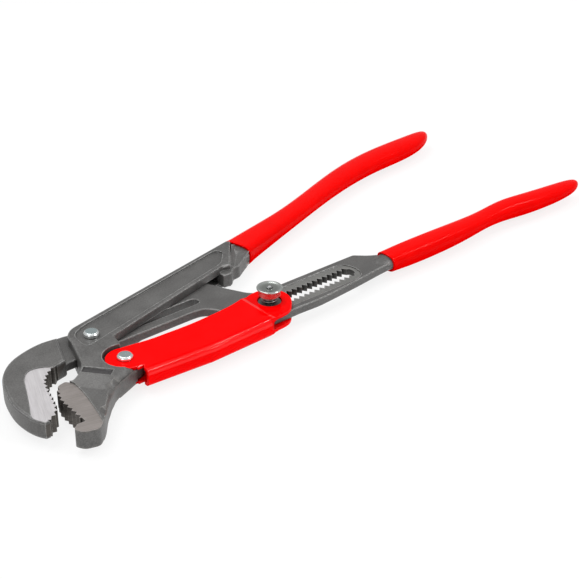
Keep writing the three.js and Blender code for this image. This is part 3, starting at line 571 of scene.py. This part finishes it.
weld, sliver = 0.000004, 0.000002  # distances under which corners and edges are one
crease = math.radians(38)


def dressed(node, name, body, materials, pick, flat=(), shape=None):
    """The node's own shape with finishes by face, and shading that follows its bevels.

    Faces with a finish in flat keep sharp borders, and shape changes the copy first.
    """
    bm = bmesh.new()
    bm.from_mesh(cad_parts[node].data)
    bmesh.ops.remove_doubles(bm, verts=bm.verts, dist=weld)
    bmesh.ops.dissolve_degenerate(bm, edges=bm.edges, dist=sliver)
    if shape:
        shape(bm)
    bm.normal_update()
    for face in bm.faces:
        face.material_index = materials.index(pick(face))
        face.smooth = True
    for edge in bm.edges:
        turn = edge.calc_face_angle(0)
        level = [abs(face.normal.z) > 0.9995 for face in edge.link_faces]
        plain = any(materials[face.material_index] in flat for face in edge.link_faces)
        crisp = turn > math.radians(2) and (plain or any(level) and not all(level))
        edge.smooth = turn < crease and not crisp
    piece = new_piece(name, bm, *materials)
    even = piece.modifiers.new("flats stay flat", "WEIGHTED_NORMAL")
    even.keep_sharp, even.weight = True, 100
    take_place(piece, body, node)


dressed("upper_handle_fixed_jaw", "upper_forging", "upper",
        [dark_forging, jaw_ground, jaw_teeth, window_scale, neck_forging], upper_finish,
        flat=(jaw_ground, jaw_teeth), shape=shape_upper)
dressed("lower_handle_hook_jaw", "hook_forging", "lower",
        [dark_forging, hook_ground, jaw_teeth, milled_band, slot_teeth, hook_rim], lower_finish,
        flat=(hook_ground, jaw_teeth, slot_teeth))
dressed("link_channel", "link_pressing", "link", [lacquer, bend_lacquer],
        link_finish)


# Dipped grips: an eased skin through rings like the upper grip's above

lower_rings = [
    (244.0, -41.3, 10.1, 6.9, 3.0), (262.0, -41.6, 11.1, 7.5, 2.8), (290.0, -41.6, 11.4, 7.8, 2.6),
    (319.0, -41.1, 10.8, 7.4, 2.4), (342.0, -39.5, 9.6, 6.5, 2.3), (356.0, -38.3, 9.0, 6.1, 2.3),
    (372.0, -37.2, 9.7, 6.6, 2.3), (387.0, -37.3, 10.8, 7.5, 2.3), (404.0, -39.8, 11.0, 7.5, 2.3),
    (430.0, -42.0, 10.3, 7.0, 2.2), (450.0, -42.2, 9.0, 6.2, 2.2), (462.0, -41.4, 7.3, 5.1, 2.2),
    (470.0, -39.4, 4.4, 3.4, 2.1), (472.5, -38.5, 2.0, 1.6, 2.0),
]
ring_corners = 28
# The rolled lip at the dip line: shares of the first ring, and millimetres ahead of it
lip_rolls = ((0.8, 0.3), (0.96, 0), (0.995, 0.3), (1.0, 1.2), (0.99, 3.0))


def ring_matrix(ring, heading):
    """Turns a unit circle into the ring's ellipse, square to the handle's heading."""
    along, across, half_width, half_thickness = (value * milli for value in ring[:4])
    place = Matrix.Translation((along, across, mid_height)) @ Matrix.Rotation(heading, 4, "Z")
    upright = Matrix.Rotation(math.pi / 2, 4, "Y")
    return place @ upright @ Matrix.Diagonal((half_thickness, half_width, 1, 1))


def squared(point, squareness):
    """A point of a unit circle moved out towards the square round it; 2 leaves it as it is."""
    out = [math.copysign(abs(value) ** (2 / squareness), value) for value in point[:2]]
    return Vector((*out, 0))


def scaled_ring(ring, share, ahead, heading):
    """A smaller ring some way ahead of the given one."""
    along, across = ring[0] + ahead * math.cos(heading), ring[1] + ahead * math.sin(heading)
    return (along, across, ring[2] * share, ring[3] * share, ring[4])


def dipped_grip(node, name, body, sections, first_heading):
    """Rings swept along the handle, with a rolled lip at the dip line and a closed round end."""
    headings = [math.atan2(after[1] - before[1], after[0] - before[0])
                for before, after in zip(sections, sections[2:] + sections[-1:])]
    lip = [scaled_ring(sections[0], share, ahead, first_heading) for share, ahead in lip_rolls]
    course = [(ring_matrix(ring, first_heading), ring[4]) for ring in lip]
    course += [(ring_matrix(ring, turn), ring[4]) for ring, turn in zip(sections[1:], headings)]
    bm = bmesh.new()
    circle = bmesh.ops.create_circle(bm, cap_ends=False, radius=1, segments=ring_corners)["verts"]
    for vert in circle:
        vert.co = course[0][0] @ squared(vert.co, course[0][1])
    edges = list(bm.edges)
    for (before, old_shape), (after, new_shape) in zip(course, course[1:]):
        grown = bmesh.ops.extrude_edge_only(bm, edges=edges)["geom"]
        edges = [part for part in grown if isinstance(part, bmesh.types.BMEdge)]
        back = before.inverted()
        for vert in (part for part in grown if isinstance(part, bmesh.types.BMVert)):
            vert.co = after @ squared(squared(back @ vert.co, 4 / old_shape), new_shape)
    bmesh.ops.holes_fill(bm, edges=edges, sides=0)
    smooth_skin(bm)
    piece = new_piece(name, bm, vinyl)
    skin = piece.modifiers.new("smooth skin", "SUBSURF")
    skin.levels = skin.render_levels = 2
    take_place(piece, body, node)


dipped_grip("upper_grip", "upper_dipped_grip", "upper", upper_rings, upper_grip_heading)
dipped_grip("lower_grip", "lower_dipped_grip", "lower", lower_rings, 0.0)


# Turned pieces: half profiles of radius and height above the middle plane, in millimetres

guide_place = (0.0, 0.0)
link_place = (0.002, -0.0385)
button_place = (0.1297, -0.0385)
lathe_steps = 64
turned_edge = math.radians(32)
edge_round = 0.00012


def turned(node, name, body, place, profile, material, closed=False):
    """A half profile spun about the upright line through its place, with its edges eased."""
    bm = bmesh.new()
    verts = [bm.verts.new((place[0] + radius * milli, place[1], mid_height + height * milli))
             for radius, height in profile]
    pairs = list(zip(verts, verts[1:])) + ([(verts[-1], verts[0])] if closed else [])
    edges = [bm.edges.new(pair) for pair in pairs]
    bmesh.ops.spin(bm, geom=verts + edges, cent=(*place, 0), axis=(0, 0, 1), angle=2 * math.pi,
                   steps=lathe_steps, use_merge=True)
    bmesh.ops.remove_doubles(bm, verts=bm.verts, dist=sliver)
    smooth_skin(bm)
    piece = new_piece(name, bm, material)
    piece.data.set_sharp_from_angle(angle=turned_edge)
    eased = piece.modifiers.new("eased edges", "BEVEL")
    eased.limit_method, eased.angle_limit = "ANGLE", turned_edge
    eased.width, eased.segments, eased.harden_normals = edge_round, 2, True
    take_place(piece, body, node)


def rivet_profile(shank, head, seat, top):
    """A flat head with a coned rim on both ends of the shank, its face a little dished."""
    upper = [(0, top - 0.12), (head * 0.45, top - 0.1), (head - 1.35, top), (head - 1.05, top - 0.06),
             (head - 0.3, top - 0.8), (head, top - 1.15), (head, seat), (shank, seat)]
    return upper + [(radius, -height) for radius, height in reversed(upper)]


# The rivets' coned rims are coloured near white: a painted highlight
rivet_green, rivet_rim_highlight = (0.42, 0.50, 0.51), (0.93, 0.95, 0.95)
for node, name, place, seat, head, shank, height in (
        ("guide_rivet", "guide_rivet_turned", guide_place, 8.5, 5.5, 3.5, 3.3),
        ("link_rivet", "link_rivet_turned", link_place, 7.5, 5.6, 4.0, 2.6)):
    zinc = plated_zinc(node + "_zinc", (*place, 0), 0.0056, rivet_green, rivet_rim_highlight,
                       change=(0.72, 0.82))
    turned(node, name, "upper", place, rivet_profile(shank, head, seat, seat + height), zinc)

cap_zinc = plated_zinc("button_cap_zinc", (*button_place, 0), 0.0096, (0.30, 0.32, 0.30),
                       (0.55, 0.58, 0.56), (0.12, 0.22))
turned("button_cap", "button_cap_turned", "button", button_place, [
    (2.4, 15.6), (7.3, 15.6), (7.3, 11.28), (8.4, 11.28), (8.4, 14.9), (8.7, 15.5), (9.25, 15.75),
    (9.6, 16.3), (9.6, 16.9), (9.3, 17.3), (8.9, 17.4), (8.2, 17.3), (7.2, 16.9), (5.6, 16.6),
    (3.6, 16.55), (2.4, 16.7),
], cap_zinc, closed=True)
washer_zinc = plated_zinc("washer_zinc", (*button_place, 0), 0.011, (0.45, 0.46, 0.45),
                          (0.62, 0.63, 0.62))
# The spring seat washer is coloured near black: painted shade down in the button's hole
shaded_seat_zinc = plated_zinc("shaded_seat_zinc", (*button_place, 0), 0.0085, (0.10, 0.10, 0.10),
                        (0.16, 0.16, 0.155), (0.3, 0.42))
turned("spring_seat_washer", "spring_seat_washer_turned", "link", button_place, [
    (4.4, 4.6), (8.5, 4.6), (8.5, 5.2), (4.4, 5.2),
], shaded_seat_zinc, closed=True)
turned("retaining_washer", "retaining_washer_turned", "button", button_place, [
    (3.8, -7.6), (11, -7.6), (11, -6.3), (3.8, -6.3),
], washer_zinc, closed=True)

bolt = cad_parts["lock_bolt"]
bolt.data.materials.clear()
bolt.data.materials.append(plated_zinc("lock_bolt_zinc", (*button_place, 0), 0.0035,
                                       (0.93, 0.94, 0.94), (0.24, 0.25, 0.245),
                                       change=(0.3, 0.42)))


def button_coil():
    """Round wire wound up between the seat washer and the cap."""
    low, high, radius, wire = 5.5, 15.3, 5.5, 0.4  # millimetres; wire is the wire's own radius
    turns, steps = 4.5, 24
    bm = bmesh.new()
    circle = bmesh.ops.create_circle(bm, cap_ends=False, radius=wire * milli, segments=12)["verts"]
    upright = Matrix.Rotation(math.pi / 2, 4, "X")
    start = Matrix.Translation((button_place[0] + radius * milli, button_place[1],
                                mid_height + (low + wire) * milli))
    bmesh.ops.transform(bm, matrix=start @ upright, verts=circle)
    rise = (high - low - 2 * wire) * milli / (turns * steps)
    bmesh.ops.spin(bm, geom=list(bm.verts) + list(bm.edges), cent=(*button_place, 0), axis=(0, 0, 1),
                   dvec=(0, 0, rise), angle=2 * math.pi * turns, steps=int(turns * steps),
                   use_merge=False)
    ends = [edge for edge in bm.edges if edge.is_boundary]
    bmesh.ops.holes_fill(bm, edges=ends, sides=0)
    smooth_skin(bm)
    piece = new_piece("button_coil", bm, spring_wire((*button_place, 0)))
    take_place(piece, "link", "button_spring")
    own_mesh(piece)


button_coil()


# Studio

def studio_floor():
    """A wide white ground that keeps the tool's soft shadow."""
    bm = bmesh.new()
    bmesh.ops.create_grid(bm, x_segments=1, y_segments=1, size=40)
    bmesh.ops.translate(bm, verts=bm.verts, vec=(0.15, 0, mid_height - floor_depth))
    material = bpy.data.materials.new("white_floor")
    material.use_nodes = True
    material.node_tree.nodes.clear()
    w = Wiring(material.node_tree)
    matt = w.add("ShaderNodeBsdfPrincipled", in_Roughness=0.9)
    matt.inputs["Base Color"].default_value = (0.9, 0.9, 0.9, 1)
    matt.inputs["Specular IOR Level"].default_value = 0.1
    white = w.add("ShaderNodeEmission", in_Strength=1.0)
    both = w.add("ShaderNodeMixShader")
    w.join(w.maths("MULTIPLY", seen_directly(w), 0.82), both.inputs[0])
    w.join(matt.outputs[0], both.inputs[1])
    w.join(white.outputs[0], both.inputs[2])
    w.join(both.outputs[0], w.add("ShaderNodeOutputMaterial").inputs["Surface"])
    new_piece("studio_floor", bm, material)


def seen_directly(w):
    """One for the camera's own rays and for reflections, zero for the light that falls on things."""
    path = w.add("ShaderNodeLightPath")
    mirrored = w.maths("MAXIMUM", path.outputs["Is Glossy Ray"], path.outputs["Is Transmission Ray"])
    return w.maths("MAXIMUM", path.outputs["Is Camera Ray"], mirrored)


def studio_sky():
    """A soft white dome, brightest overhead and dim at the horizon."""
    world = bpy.data.worlds.new("studio_sky")
    bpy.context.scene.world = world
    world.use_nodes = True
    world.node_tree.nodes.clear()
    w = Wiring(world.node_tree)
    direction = w.add("ShaderNodeTexCoord")
    split = w.add("ShaderNodeSeparateXYZ")
    w.join(direction.outputs["Generated"], split.inputs[0])
    height = w.maths("MAXIMUM", split.outputs[2], 0.0)
    dome = w.add("ShaderNodeBackground")
    dome.inputs["Color"].default_value = (1, 1, 1, 1)
    light = w.maths("MULTIPLY_ADD", w.maths("MULTIPLY", height, height), 0.48, 0.34)
    w.join(light, dome.inputs["Strength"])
    w.join(dome.outputs[0], w.add("ShaderNodeOutputWorld").inputs["Surface"])


def soft_box(name, place, aim, width, height, watts):
    """A rectangular lamp that points at a place."""
    lamp = bpy.data.lights.new(name, "AREA")
    lamp.shape = "RECTANGLE"
    lamp.size, lamp.size_y, lamp.energy = width, height, watts
    box = bpy.data.objects.new(name, lamp)
    box.location = place
    box.rotation_euler = (Vector(aim) - Vector(place)).to_track_quat("-Z", "Y").to_euler()
    bpy.context.collection.objects.link(box)


def photo_camera():
    """Long lens, 29 degrees above the ground, 40 degrees round from the slots' square view."""
    target = Vector((0.15838, -0.02710, mid_height))
    turn, rise, distance = math.radians(-40), math.radians(29), 1.0906
    back = Vector((math.sin(turn) * math.cos(rise), -math.cos(turn) * math.cos(rise), math.sin(rise)))
    focal_pixels, picture_pixels, sensor = 1450, 579, 36
    data = bpy.data.cameras.new("photo_camera")
    data.lens = focal_pixels / picture_pixels * sensor
    data.sensor_width = sensor
    data.clip_start, data.clip_end = 0.05, 50
    camera = bpy.data.objects.new("photo_camera", data)
    camera.location = target + back * distance
    camera.rotation_euler = (-back).to_track_quat("-Z", "Y").to_euler()
    bpy.context.collection.objects.link(camera)
    bpy.context.scene.camera = camera


studio_floor()
studio_sky()
soft_box("overhead_box", (-0.1, 0.5, 1.3), (0.15, 0, 0), 1.2, 0.8, 10.3)
soft_box("left_box", (-1.2, -0.5, 0.7), (0.15, 0, 0), 0.7, 0.9, 4)
soft_box("strip_box", (1.1, -0.19, 1.2), (1.1, -0.19, 0), 0.8, 0.05, 5)
soft_box("front_box", (0.626, -0.894, 0.81), (0.02, -0.066, 0.012), 0.25, 0.5, 4.5)
bpy.context.scene.view_settings.view_transform = "Standard"
photo_camera()
